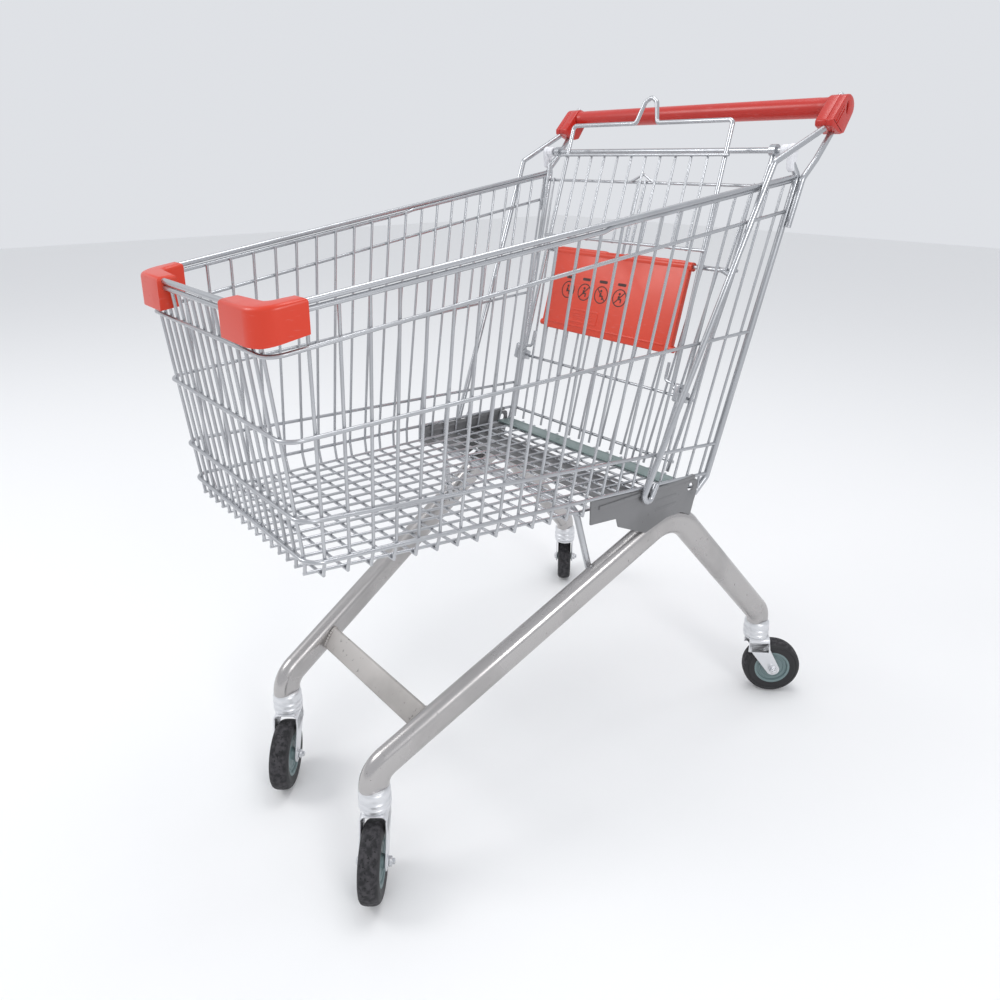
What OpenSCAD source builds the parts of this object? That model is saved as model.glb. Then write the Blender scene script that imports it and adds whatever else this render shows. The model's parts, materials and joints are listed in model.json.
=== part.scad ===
// Supermarket shopping cart with a wire basket, a folding child seat and four swivel casters.
// Frame: +Z up, nose towards -Y, handle towards +Y, floor at Z = 0, symmetric about X = 0.

/* [Overall] */
// Distance from the basket's front to the axis of the rear casters
rear_caster_y = 835; // [780:1:900]
// Height of the handle's axis above the floor
handle_z = 1003; // [990:1:1030]
// Distance from the basket's front to the handle's axis
handle_y = 862; // [855:1:900]

/* [Basket] */
// Length of the basket at the top ring
basket_len = 766; // [760:1:775]
// Width of the basket's front at the top ring
front_w = 338; // [320:1:360]
// Width of the basket's rear at the top ring
rear_w = 506; // [496:1:530]
// Diameter of the wires that run up the sides, the front and the floor
mesh_d = 4; // [3:0.1:5]
// Diameter of the four ring wires
ring_d = 5; // [4:0.1:6]
// Diameter of the two rim wires
rim_d = 7; // [6:0.1:8]
// Number of upright wires in each side
side_wires = 22; // [14:1:26]
// Number of wires from front to rear in the floor
floor_wires = 15; // [9:2:17]
// Radius of the basket's two front corners
corner_r = 22; // [14:1:30]

/* [Chassis] */
// Height of the flattened tube's section
tube_h = 42; // [34:1:46]
// Width of the flattened tube's section
tube_w = 28; // [22:1:34]
// Distance between the axes of the two front casters
front_track = 254; // [230:1:270]
// Distance between the axes of the two rear casters
rear_track = 486; // [460:1:520]
// Distance from the basket's front to the axis of the front casters
front_caster_y = 110; // [90:1:130]
// Thickness of the side plates
plate_t = 3; // [2:0.5:4]

/* [Casters] */
// Diameter of the wheels
wheel_d = 100; // [90:1:104]
// Width of the tyres
wheel_w = 28; // [22:1:30]
// Distance of the axle behind the swivel axis
trail = 32; // [20:1:38]
// Diameter of the axle bolts
axle_d = 8; // [6:0.5:10]
// Clearance all round a shaft in its bore
fit_gap = 0.05; // [0.02:0.01:0.08]
// Diameter of the fork's stem
stem_d = 16; // [12:1:18]

/* [Handle and posts] */
// Diameter of the handle's plastic sleeve
grip_d = 30; // [26:1:32]
// Diameter of the steel tube inside the handle
core_d = 24; // [20:1:26]
// Diameter of the two rear posts and the handle's struts
post_d = 10; // [8:0.5:11]
// Diameter of the hinge rod of the rear gate
hinge_d = 9; // [7:0.5:10]

/* [Gate and child seat] */
// Lean of the gate from the vertical
gate_lean = 15.8; // [12:0.1:18]
// Diameter of the gate's edge wires
edge_d = 6; // [5:0.1:7]
// Diameter of the seat frame's wire
seat_d = 7; // [6:0.1:8]
// Half the width of the seat frame
seat_half = 168; // [160:1:172]
// Width of the seat board
board_w = 290; // [270:1:296]
// Thickness of the seat board
board_t = 9; // [7:0.5:10]

/* [Hidden] */
$fn = 24;

// The basket's front is drawn at y = 0 and everything is moved by mid_y, so the origin is mid-length.
bumper_t = 4;
bumper_gap = 1;
caster_turn_rear = 45;
caster_turn_front = -131;
wheel_r = wheel_d / 2;
tread_r = 7;
tread_reach = (wheel_r - tread_r) * cos(caster_turn_rear) + (wheel_w / 2 - tread_r) * sin(caster_turn_rear) + tread_r;
tail_y = rear_caster_y + trail * cos(caster_turn_rear) + tread_reach;

// Rings and rim: [front half-width, front y, front z, rear half-width, rear y, rear z].
half_f = front_w / 2;
half_r = rear_w / 2;
rake = 26 / 236;
post_lean = 0.265;
ring_z_f = [745, 655, 564, 513];
ring_z_r = [857, 683, 512, 465];
rim_z_f = 791;
rim_z_r = 906;
rim_drop = 8;
low_rim_d = rim_d - 1;
rim_out = [1, 4];
ring_4_in = [3, 28];
floor_z_f = 489;
floor_z_r = 440;
wire_gap = 0.02;
floor_up = mesh_d + wire_gap;
floor_in_f = 18;
floor_in_r = 30;

function lerp(a, b, t) = a + (b - a) * t;
function unit(v) = v / norm(v);
function flip(p) = [-p[0], p[1], p[2]];
function in_f(z) = lerp(-rim_out[0], ring_4_in[0], (rim_z_f - z) / (rim_z_f - ring_z_f[3]));
function in_r(z) = lerp(-rim_out[1], ring_4_in[1], (rim_z_r - z) / (rim_z_r - ring_z_r[3]));
function front_at(z) = [half_f - in_f(z), (ring_z_f[0] - z) * rake, z];
function rear_at(z) = [half_r - in_r(z), basket_len - (ring_z_r[0] - z) * post_lean, z];
function ring_f(k) = front_at(ring_z_f[k]);
function ring_r(k) = rear_at(ring_z_r[k]);
rim_f = front_at(rim_z_f);
rim_r = rear_at(rim_z_r);
nose_y = rim_f[1] - rim_d / 2 - bumper_gap - bumper_t;
mid_y = (nose_y + tail_y) / 2;
floor_f = [half_f - floor_in_f, (ring_z_f[0] - floor_z_f) * rake, floor_z_f];
floor_r = [half_r - floor_in_r, basket_len - (ring_z_r[0] - floor_z_r) * post_lean, floor_z_r];

// A bend is this much fatter than the straight beside it, as a bent tube's section is.
swell = 0.1;
// Each straight runs this far into the bends at its ends, so a bent wire is one solid.
lap = 0.3;

// Straight round bar from p to q.
module bar(p, q, d) {
  v = q - p;
  translate(p)
    rotate([0, acos(v[2] / norm(v)), atan2(v[1], v[0])])
      cylinder(h = norm(v), d = d);
}

// Quarter-like elbow of a bent wire: starts at s, heads along u and turns towards n.
module elbow(s, u, n, r, a, d) {
  c = s + n * r;
  w = cross(u, n);
  multmatrix([[-n[0], u[0], w[0], c[0]], [-n[1], u[1], w[1], c[1]], [-n[2], u[2], w[2], c[2]], [0, 0, 0, 1]])
    rotate_extrude(angle = a)
      translate([r, 0])
        circle(d = d + swell);
}

// Bent wire through the points pts, with bend radius r at each inner point.
module rod(pts, d, r) {
  last = len(pts) - 1;
  dir = [for (i = [0:last - 1]) unit(pts[i + 1] - pts[i])];
  turn = [for (i = [1:last - 1]) acos(dir[i - 1] * dir[i])];
  cut = [for (i = [0:last]) (i == 0 || i == last) ? 0 : r * tan(turn[i - 1] / 2)];
  for (i = [0:last - 1])
    bar(pts[i] + dir[i] * max(cut[i] - lap, 0), pts[i + 1] - dir[i] * max(cut[i + 1] - lap, 0), d);
  for (i = [1:last - 1])
    elbow(pts[i] - dir[i - 1] * cut[i], dir[i - 1],
      unit(dir[i] - dir[i - 1] * (dir[i - 1] * dir[i])), r, turn[i - 1], d);
}

// A U-shaped wire round the front, from the rear end on one side to the rear end on the other.
module hoop_wire(f, b, d) {
  rod([b, f, flip(f), flip(b)], d, corner_r);
}

module at_mid() {
  translate([0, -mid_y, 0]) children();
}

module left_right(side) {
  if (side < 0) mirror([1, 0, 0]) children();
  else children();
}

// ---- chassis ----
cup_top_z = 142;
tube_front_z = 164;
tube_crest_z = 412;
tube_rear_z = 156;
tube_run = norm([rear_track / 2 - front_track / 2, rear_caster_y - front_caster_y]);
tube_yaw = atan2((rear_track - front_track) / 2, rear_caster_y - front_caster_y);
crest_share = 0.69;
function tube_z(share) = lerp(tube_front_z, tube_crest_z, share / crest_share);

// Flattened tube section, its long side along y, swollen by g where it is bent.
module oval(g = 0) {
  square([tube_w + g, tube_h - tube_w], center = true);
  for (s = [-1, 1]) translate([0, s * (tube_h - tube_w) / 2]) circle(d = tube_w + g);
}

// Straight length of oval tube in the local y-z plane, from p to q given as [y, z].
module tube_len(p, q) {
  v = q - p;
  translate([0, p[0], p[1]])
    rotate([atan2(v[1], v[0]) - 90, 0, 0])
      linear_extrude(norm(v)) oval();
}

// Bend of the oval tube at point m between directions u and v (unit, [y, z]) with radius r.
module tube_bend(m, u, v, r) {
  a = acos(u * v);
  side = sign(u[0] * v[1] - u[1] * v[0]);
  start = m - u * r * tan(a / 2);
  n = side * [-u[1], u[0]];
  c = start + n * r;
  multmatrix([[0, 0, side, 0], [-n[0], u[0], 0, c[0]], [-n[1], u[1], 0, c[1]], [0, 0, 0, 1]])
    rotate_extrude(angle = a) translate([r, 0]) rotate(90) oval(2 * swell);
}

module chassis_tube(side) {
  pts = [[0, cup_top_z], [0, tube_front_z], [tube_run * crest_share, tube_crest_z], [tube_run, tube_rear_z],
    [tube_run, cup_top_z]];
  rad = [0, 34, 62, 34, 0];
  dir = [for (i = [0:3]) unit(pts[i + 1] - pts[i])];
  turn = [for (i = [1:3]) acos(dir[i - 1] * dir[i])];
  cut = [for (i = [0:4]) (i == 0 || i == 4) ? 0 : rad[i] * tan(turn[i - 1] / 2)];
  color("silver") at_mid() left_right(side)
    translate([front_track / 2, front_caster_y, 0]) rotate(-tube_yaw) {
      for (i = [0:3]) tube_len(pts[i] + dir[i] * max(cut[i] - lap, 0), pts[i + 1] - dir[i] * max(cut[i + 1] - lap, 0));
      for (i = [1:3]) tube_bend(pts[i], dir[i - 1], dir[i], rad[i]);
    }
}
module chassis_tube_left() { chassis_tube(1); }
module chassis_tube_right() { chassis_tube(-1); }

// Place on the left tube's centre line, a share of the way along its run, at height z.
function tube_at(share, z) = [lerp(front_track, rear_track, share) / 2,
  lerp(front_caster_y, rear_caster_y, share), z];

module front_cross_bar() {
  share = 0.108;
  inner = lerp(front_track, rear_track, share) / 2 - tube_w / 2;
  color("rosybrown") at_mid()
    translate([0, lerp(front_caster_y, rear_caster_y, share), tube_z(share)])
      rotate([90 - 38, 0, 0])
        cube([2 * inner + 2, 34, 8], center = true);
}

// ---- plates and cross members under the basket ----
plate_y = [427, 647];
function ring4_x(y) = lerp(ring_f(3)[0], ring_r(3)[0], (y - ring_f(3)[1]) / (ring_r(3)[1] - ring_f(3)[1]));
function ring4_z(y) = lerp(ring_f(3)[2], ring_r(3)[2], (y - ring_f(3)[1]) / (ring_r(3)[1] - ring_f(3)[1]));
function floor_z(y) = lerp(floor_f[2], floor_r[2], (y - floor_f[1]) / (floor_r[1] - floor_f[1]));
function floor_x(y) = lerp(floor_f[0], floor_r[0], (y - floor_f[1]) / (floor_r[1] - floor_f[1]));
plate_out = 1;

// Upright plate between the basket's side and the chassis tube, with its notch, hole and pressed ribs.
module side_plate(side) {
  top_f = ring4_z(plate_y[0]) - ring_d / 2;
  top_r = ring4_z(plate_y[1]) - ring_d / 2;
  step_y = plate_y[0] + 50;
  yaw = atan2(ring4_x(plate_y[1]) - ring4_x(plate_y[0]), plate_y[1] - plate_y[0]);
  foot = tube_crest_z + 1;
  color("dimgray") at_mid() left_right(side)
    translate([ring4_x(plate_y[0]) - plate_t / 2 + plate_out, plate_y[0], 0]) rotate(-yaw)
      difference() {
        translate([-plate_t / 2, 0, 0]) rotate([90, 0, 90])
          linear_extrude(plate_t)
            polygon([[0, top_f], [0, top_f - 36], [step_y - plate_y[0], top_f - 40],
              [step_y - plate_y[0] + 4, top_f - 54], [step_y - plate_y[0] + 60, foot - 14], [154, foot],
              [186, foot], [208, foot - 11], [214, foot + 14], [220, top_r - 20], [220, top_r]]);
        translate([0, 208, top_r - 15]) rotate([0, 90, 0]) cylinder(h = 4 * plate_t, d = 13, center = true);
      }
}
module side_plate_left() { side_plate(1); }
module side_plate_right() { side_plate(-1); }

channel_y = 560;
channel_half = 22;
module rear_cross_channel() {
  top = floor_z(channel_y + channel_half) - mesh_d / 2 - wire_gap;
  half = ring4_x(channel_y - channel_half) - plate_t + plate_out;
  deep = 24;
  color("slategray") at_mid()
    translate([-half, channel_y, top]) rotate([90, 0, 90])
      linear_extrude(2 * half)
        difference() {
          translate([-channel_half, -deep]) square([2 * channel_half, deep]);
          translate([plate_t - channel_half, -deep - 1]) square([2 * (channel_half - plate_t), deep + 1 - plate_t]);
        }
}

// Bent rod under the floor, welded to the inner flanks of both tubes.
module brace_rod() {
  brace_d = 10;
  foot = tube_at(0.49, tube_z(0.49) + 2) - [tube_w / 2 - 1, 0, 0];
  top = [158, foot[1] - 22, floor_z(foot[1] - 22) - mesh_d / 2 - brace_d / 2 - wire_gap];
  color("gainsboro") at_mid() rod([foot, top, flip(top), flip(foot)], brace_d, 18);
}

// Flat strip on top of the floor's wires, along its rear edge.
module threshold_strip() {
  y = 626;
  thick = 2.4;
  slope = atan2(floor_f[2] - floor_r[2], floor_r[1] - floor_f[1]);
  color("cadetblue") at_mid()
    translate([0, y, floor_z(y) + floor_up + mesh_d / 2 + thick / 2 - 0.1]) rotate([-slope, 0, 0])
      cube([2 * floor_x(y) - 16, 34, thick], center = true);
}

// ---- basket ----
weld = 0.4;
function side_low(t) = lerp(floor_f, floor_r, t);
function side_top(t) = lerp(rim_f, rim_r, t) - [(low_rim_d + mesh_d) / 2 - weld, 0, rim_drop];
wire_in = (ring_d + mesh_d) / 2 - weld;

// Upright wires of one side: from the rim past the four rings, and turned in under the floor.
module basket_side(side) {
  color("lightgray") at_mid() left_right(side)
    for (i = [0:side_wires - 1]) {
      t = (i + 0.7) / side_wires;
      knee = lerp(ring_f(3), ring_r(3), t) - [wire_in, 0, 0];
      rod([side_top(lerp(0.03, 0.99, t)), knee, side_low(t)], mesh_d, 12);
    }
}
module basket_side_left() { basket_side(1); }
module basket_side_right() { basket_side(-1); }

// The floor's wires: across from side to side, and on top of them from the front to the rear.
module basket_floor() {
  color("lightgray") at_mid() {
    for (i = [0:side_wires - 1]) {
      p = side_low((i + 0.7) / side_wires);
      bar(p + [1, 0, 0], flip(p) - [1, 0, 0], mesh_d);
    }
    for (i = [0:floor_wires - 1]) {
      a = 2 * i / (floor_wires - 1) - 1;
      up = [0, 0, floor_up];
      bar([a * (floor_f[0] - 6), floor_f[1], floor_f[2]] + up, [a * (floor_r[0] - 6), floor_r[1], floor_r[2]] + up, mesh_d);
    }
  }
}

// Upright wires of the front, from the floor to the rim.
module basket_front() {
  color("lightgray") at_mid()
    for (i = [0:floor_wires - 1]) {
      a = 2 * i / (floor_wires - 1) - 1;
      low = [a * (floor_f[0] - 6), floor_f[1] + 2, floor_f[2] + floor_up];
      knee = [a * (ring_f(3)[0] - corner_r * 0.8), ring_f(3)[1] + wire_in, ring_z_f[3] - 6];
      high = [a * (rim_f[0] - corner_r * 0.9), rim_f[1] + (low_rim_d + mesh_d) / 2 - weld, rim_z_f - rim_drop];
      rod([low, knee, high], mesh_d, 9);
    }
}

module ring_wire(k) {
  color("whitesmoke") at_mid() hoop_wire(ring_f(k), ring_r(k), ring_d);
}
module ring_wire_1() { ring_wire(0); }
module ring_wire_2() { ring_wire(1); }
module ring_wire_3() { ring_wire(2); }
module ring_wire_4() { ring_wire(3); }

module rim_wire_upper() {
  color("white") at_mid() hoop_wire(rim_f, rim_r, rim_d);
}

// The lower rim wire steps up towards the upper one half-way along each side.
module rim_wire_lower() {
  step = 0.54;
  low = [0, 0, -rim_drop];
  near = [-2.6, 0, -5.7];
  a = lerp(rim_f, rim_r, step) + low;
  b = lerp(rim_f, rim_r, step + 0.02) + near;
  c = rim_r + near;
  color("white") at_mid()
    rod([c, b, a, rim_f + low, flip(rim_f) + low, flip(a), flip(b), flip(c)], low_rim_d, 12);
}

// ---- posts, struts and handle ----
hinge_y = 773;
hinge_z = 942;
post_x = half_r + 2;
function post_at(z) = rear_at(z) + [0, post_d / 2 - weld, 0];

// Rear post: hooked under the side plate, up along the ends of the rings, and forward to the hinge.
module rear_post(side) {
  low = post_at(ring_z_r[3] - 6);
  high = post_at(rim_z_r);
  tip = [post_x - 3, hinge_y - 2, hinge_z - 14];
  color("silver") at_mid() left_right(side)
    rod([[low[0] - 5, low[1] - 22, low[2] - 24], low, high, tip], post_d, 14);
}
module rear_post_left() { rear_post(1); }
module rear_post_right() { rear_post(-1); }

// Strut from the side plate up to the handle bracket, outside the rings.
strut_knee = [half_r + 6, 716, 926];
bracket_foot = [270, 820, 972];
module handle_strut(side) {
  foot = [ring4_x(530) + 6.8, 527, ring4_z(530) - 22];
  color("white") at_mid() left_right(side)
    rod([[foot[0], foot[1] + 22, foot[2] + 24], foot + [0, 4, -6], foot + [0, -6, 12], strut_knee, bracket_foot],
      post_d - 1, 8);
}
module handle_strut_left() { handle_strut(1); }
module handle_strut_right() { handle_strut(-1); }

// Short stay from the rear post up to the handle bracket.
module handle_stay(side) {
  beside = [post_d - 0.7, 0, 0];
  color("white") at_mid() left_right(side)
    rod([post_at(ring_z_r[0] - 22) + beside, post_at(rim_z_r - 3) + beside, [268, 812, 930], [270, 848, 972]],
      post_d - 1, 16);
}
module handle_stay_left() { handle_stay(1); }
module handle_stay_right() { handle_stay(-1); }

bracket_in = 254;
bracket_out = 283;
socket_depth = 20;
module handle_core() {
  color("gray") at_mid() translate([0, handle_y, handle_z]) rotate([0, 90, 0])
    difference() {
      cylinder(h = 2 * (bracket_in + socket_depth), d = core_d - 0.2, center = true);
      cylinder(h = 2 * bracket_out, d = core_d - 4, center = true);
    }
}
module handle_grip() {
  color("crimson") at_mid() translate([0, handle_y, handle_z]) rotate([0, 90, 0])
    difference() {
      cylinder(h = 2 * bracket_in - 1, d = grip_d, center = true);
      cylinder(h = 2 * bracket_out, d = core_d, center = true);
    }
}

// Plastic end bracket: a tapered block round the tube's end that also takes the strut and the stay.
module handle_bracket(side) {
  color("red") at_mid() left_right(side)
    difference() {
      hull() {
        translate([bracket_in, handle_y, handle_z]) rotate([0, 90, 0]) cylinder(h = 28, d = grip_d + 6, $fn = 32);
        translate([bracket_in + 6, bracket_foot[1], bracket_foot[2] - 6]) cube([22, 6, 16]);
        translate([bracket_in + 6, bracket_foot[1] + 26, bracket_foot[2] - 8]) cube([22, 12, 8]);
      }
      translate([bracket_in - 1, handle_y, handle_z]) rotate([0, 90, 0]) cylinder(h = socket_depth + 1, d = core_d);
      translate([bracket_out - 9, handle_y - 3, handle_z - 9]) cube([10, 6, 18]);
      for (i = [0:2]) translate([bracket_out - 2, handle_y - 34 + i * 7, handle_z - 34 + i * 2]) cube([3, 2.4, 28]);
    }
}
module handle_bracket_left() { handle_bracket(1); }
module handle_bracket_right() { handle_bracket(-1); }

module bracket_screws() {
  color("silver") at_mid()
    for (side = [-1, 1]) translate([side * (bracket_in + 12), handle_y + 5, handle_z + grip_d / 2 + 2.6])
      cylinder(h = 3, d = 9);
}

module hinge_rod() {
  half = post_x - 8;
  color("silver") at_mid() translate([0, hinge_y, hinge_z]) rotate([0, 90, 0])
    cylinder(h = 2 * half, d = hinge_d, center = true);
}

// White plastic bearing on the post's bent end, which carries the gate's hinge rod.
module hinge_bearing(side) {
  color("white") at_mid() left_right(side)
    difference() {
      translate([post_x - 19, hinge_y, hinge_z]) rotate([0, 90, 0]) {
        cylinder(h = 22, d = hinge_d + 11);
        translate([4, -7, 0]) cube([26, 13, 14]);
      }
      translate([post_x - 20, hinge_y, hinge_z]) rotate([0, 90, 0]) cylinder(h = 12, d = hinge_d + 2 * fit_gap);
    }
}
module hinge_bearing_left() { hinge_bearing(1); }
module hinge_bearing_right() { hinge_bearing(-1); }

// ---- corner bumpers ----
bumper_tall = 44;
bumper_reach = 78;
bumper_back = 46;
rim_k = (rim_r[0] - rim_f[0]) / (rim_r[1] - rim_f[1]);
rim_rise = (rim_z_r - rim_z_f) / (rim_r[1] - rim_f[1]);

// Plan of the corner, g outside the rim wire's line, and its side end e further back.
module bumper_plan(g, e) {
  n = sqrt(1 + rim_k * rim_k);
  c = [rim_f[0] + rim_k * corner_r - corner_r * n, rim_f[1] + corner_r];
  r = corner_r + g;
  x_in = rim_f[0] - bumper_reach - e;
  y_end = rim_f[1] + bumper_back + e;
  polygon([[x_in, rim_f[1] - g], for (i = [0:8]) c + r * [cos(lerp(-90, -atan(rim_k), i / 8)), sin(lerp(-90, -atan(rim_k), i / 8))],
    [rim_f[0] + g * n + rim_k * (y_end - rim_f[1]), y_end], [x_in, y_end]]);
}

// Side outline of the bumper, from lower_by under its top surface down to low_z.
module bumper_profile(low_z, lower_by) {
  top_z = rim_z_f + rim_d / 2 + bumper_t / 2 + 0.3 - lower_by;
  far = rim_f[1] + bumper_back + 20;
  rotate([90, 0, 90]) linear_extrude(half_r)
    polygon([[-60, low_z], [rim_f[1], low_z], [far, low_z + 14], [far, top_z + (far - rim_f[1]) * rim_rise],
      [rim_f[1], top_z], [-60, top_z]]);
}

module bumper_side(side) {
  low_z = rim_z_f - bumper_tall + 8;
  color("orangered") at_mid() left_right(side)
    difference() {
      intersection() {
        translate([0, 0, low_z - 10]) linear_extrude(2 * bumper_tall) bumper_plan(rim_d / 2 + bumper_gap + bumper_t, 0);
        bumper_profile(low_z, 0);
      }
      intersection() {
        translate([0, 0, low_z - 20]) linear_extrude(2 * bumper_tall) bumper_plan(rim_d / 2 + bumper_gap, 9);
        bumper_profile(low_z - 30, bumper_t / 2);
      }
    }
}
module corner_bumper_left() { bumper_side(1); }
module corner_bumper_right() { bumper_side(-1); }

// ---- casters ----
crown_z = wheel_d + 8;
cup_gap = 0.6;
cup_z = crown_z + 4 + cup_gap;
cup_d = 44;
hub_d = 62;
fork_t = 2.5;
fork_gap = 2;
bore_d = stem_d + 2 * fit_gap;

module caster_at(x_side, rear, turn) {
  x = x_side * (rear ? rear_track : front_track) / 2;
  y = rear ? rear_caster_y : front_caster_y;
  at_mid() translate([x, y, 0]) rotate(turn) children();
}

// The four ringed cups at the ends of the tubes, each bored for its fork's stem.
module headset_cups() {
  color("lightsteelblue")
    for (x_side = [-1, 1])
      for (rear = [false, true])
        caster_at(x_side, rear, 0)
          translate([0, 0, cup_z])
            difference() {
              union() {
                cylinder(h = 11, d = cup_d);
                translate([0, 0, 11]) cylinder(h = 3, d = cup_d - 6);
                translate([0, 0, 14]) cylinder(h = 10, d = cup_d - 2);
                translate([0, 0, 24]) cylinder(h = cup_top_z - cup_z - 24, d1 = cup_d - 2, d2 = tube_h - 4);
              }
              translate([0, 0, -1]) cylinder(h = 25, d = bore_d);
            }
}

// Swivelling fork: a crown plate with two legs down to the axle, and the stem in the cup.
module fork() {
  leg_x = wheel_w / 2 + fork_gap;
  color("silver") {
    translate([0, 0, crown_z + 4]) cylinder(h = 24, d = stem_d);
    difference() {
      union() {
        translate([0, 0, crown_z]) cylinder(h = 4, d = cup_d - 2);
        translate([-leg_x - fork_t, -8, crown_z - 2]) cube([2 * (leg_x + fork_t), 16 + trail * 0.5, 4]);
        for (s = [-1, 1])
          translate([s * (leg_x + fork_t / 2) - fork_t / 2, 0, 0]) rotate([90, 0, 90]) linear_extrude(fork_t)
            polygon([[-14, crown_z + 1], [-8, crown_z - 22], [trail - 10, wheel_r - 7], [trail - 4, wheel_r - 11],
              [trail + 5, wheel_r - 11], [trail + 11, wheel_r - 4], [trail + 12, wheel_r + 12], [18, crown_z + 1]]);
      }
      translate([0, trail, wheel_r]) rotate([0, 90, 0]) cylinder(h = 90, d = axle_d, center = true);
    }
  }
}

// Axle bolt with a low head on one side, and its nut and thread end on the side named.
module axle(nut_side) {
  out = wheel_w / 2 + fork_gap + fork_t;
  color("gainsboro") translate([0, trail, wheel_r]) rotate([0, nut_side * 90, 0]) {
    translate([0, 0, -out - 1]) cylinder(h = 2 * out + 11, d = axle_d);
    translate([0, 0, -out - 4]) cylinder(h = 4, d = axle_d * 1.6);
    translate([0, 0, out]) cylinder(h = 6, d = axle_d * 1.7, $fn = 6);
  }
}

module hub() {
  color("darkcyan") translate([0, trail, wheel_r]) rotate([0, 90, 0])
    difference() {
      union() {
        cylinder(h = wheel_w - 6, d = hub_d, center = true);
        cylinder(h = wheel_w + 2 * fork_gap - 1, d = axle_d + 10, center = true);
      }
      for (s = [-1, 1]) translate([0, 0, s * (wheel_w / 2 - 3)])
        difference() {
          cylinder(h = 6, d = hub_d - 10, center = true);
          cylinder(h = 8, d = axle_d + 18, center = true);
        }
      cylinder(h = 2 * wheel_w, d = axle_d + 2 * fit_gap, center = true);
    }
}

// Tyre with a rounded tread, pressed on the hub.
module tyre() {
  r = tread_r;
  color("black") translate([0, trail, wheel_r]) rotate([0, 90, 0])
    rotate_extrude($fn = 96)
      polygon([[hub_d / 2, -wheel_w / 2 + 1], [wheel_r - r, -wheel_w / 2],
        for (i = [1:5]) [wheel_r - r + r * sin(i * 15), -wheel_w / 2 + r - r * cos(i * 15)],
        [wheel_r, -wheel_w / 2 + r], [wheel_r, wheel_w / 2 - r],
        for (i = [1:5]) [wheel_r - r + r * cos(i * 15), wheel_w / 2 - r + r * sin(i * 15)],
        [wheel_r - r, wheel_w / 2], [hub_d / 2, wheel_w / 2 - 1]]);
}

module front_left() { caster_at(1, false, caster_turn_front) children(); }
module front_right() { caster_at(-1, false, caster_turn_front) children(); }
module rear_left() { caster_at(1, true, -caster_turn_rear) children(); }
module rear_right() { caster_at(-1, true, caster_turn_rear) children(); }

// ---- rear gate, hung from the hinge rod; u runs down the gate from the hinge ----
gate_w = 12;
row_u = [54, 180, 383, 484];
gate_end = 500;
gate_top_half = 231;
gate_taper = 0.102;
function gate_half(u) = gate_top_half - gate_taper * u;
function gp(x, u, w) = [x, -w, -u];
module at_gate() {
  at_mid() translate([0, hinge_y, hinge_z]) rotate([-gate_lean, 0, 0]) children();
}
wires_below = 14;
centre_x = 7;
row_d = 5;

// Eye of the gate's edge wire round the hinge rod.
module gate_eye(x) {
  translate([x, 0, 0]) rotate([0, 90, 0])
    difference() {
      cylinder(h = 10, d = hinge_d + 9, center = true);
      cylinder(h = 11, d = hinge_d + 2 * fit_gap, center = true);
    }
}

module gate_frame() {
  eye_x = gate_half(0) - 8;
  color("silver") at_gate() {
    for (s = [-1, 1]) {
      bar(gp(s * eye_x, 8, 2), gp(s * gate_half(24), 26, gate_w), edge_d);
      bar(gp(s * gate_half(24), 24, gate_w), gp(s * gate_half(gate_end), gate_end, gate_w), edge_d);
      gate_eye(s * eye_x);
    }
    for (u = row_u)
      bar(gp(-gate_half(u) - 2, u, gate_w - 5), gp(gate_half(u) + 2, u, gate_w - 5), row_d);
  }
}

module gate_wires() {
  up_w = gate_w - 0.9;
  color("lightgray") at_gate() {
    for (i = [1:wires_below]) {
      a = 2 * i / (wires_below + 1) - 1;
      bar(gp(a * gate_half(row_u[1]), row_u[1] - 3, up_w), gp(a * gate_half(gate_end), gate_end, up_w), mesh_d);
    }
    for (s = [-1, 1]) {
      bar(gp(s * centre_x, row_u[0] - 3, up_w), gp(s * centre_x, row_u[1] + 3, up_w), mesh_d + 1);
      bar(gp(s * gate_half(row_u[0]) * 0.93, row_u[0] - 3, up_w), gp(s * gate_half(row_u[1]) * 0.93, row_u[1] + 3, up_w), mesh_d);
    }
    rod([gp(-24, row_u[0], up_w), gp(0, row_u[0] - 13, up_w), gp(24, row_u[0], up_w)], mesh_d, 6);
  }
}

pivot_u = 184;
pivot_w = gate_w + 11;
pivot_d = 6;
module board_pivot_rod() {
  x = gate_half(pivot_u) - 14;
  color("silver") at_gate()
    rod([gp(-x - 12, pivot_u + 6, gate_w), gp(-x, pivot_u, pivot_w), gp(x, pivot_u, pivot_w), gp(x + 12, pivot_u + 6, gate_w)],
      pivot_d, 6);
}

// ---- child seat ----
seat_w = gate_w + 21;
foot_u = 371;
pin_out = 20;
clip_x = seat_half + 13;
clip_t = 8;
module seat_clips() {
  color("slategray") at_gate()
    for (s = [-1, 1])
      difference() {
        translate([s * clip_x - clip_t / 2, -seat_w - 8, -foot_u - 19]) cube([clip_t, 34, 28]);
        translate([s * clip_x, -seat_w, -foot_u]) rotate([0, 90, 0])
          cylinder(h = clip_t + 2, d = seat_d + 2 * fit_gap, center = true);
      }
}

hoop_half = 12;
hoop_top_u = -78;
bar_u = -36;
module seat_frame() {
  q = [gp(seat_half - 4, bar_u, seat_w), gp(hoop_half + 10, bar_u, seat_w), gp(hoop_half, hoop_top_u + 8, seat_w)];
  color("white") at_gate() {
    rod([gp(seat_half + pin_out, foot_u, seat_w), gp(seat_half, foot_u, seat_w), q[0], q[1], q[2], gp(0, hoop_top_u, seat_w),
      flip(q[2]), flip(q[1]), flip(q[0]), gp(-seat_half, foot_u, seat_w), gp(-seat_half - pin_out, foot_u, seat_w)], seat_d, 7);
    for (s = [-1, 1])
      rod([gp(s * (seat_half - 16), 334, seat_w), gp(s * (seat_half - 16), 362, seat_w), gp(s * (seat_half - 2), 364, seat_w)],
        edge_d - 1, 6);
  }
}

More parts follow.
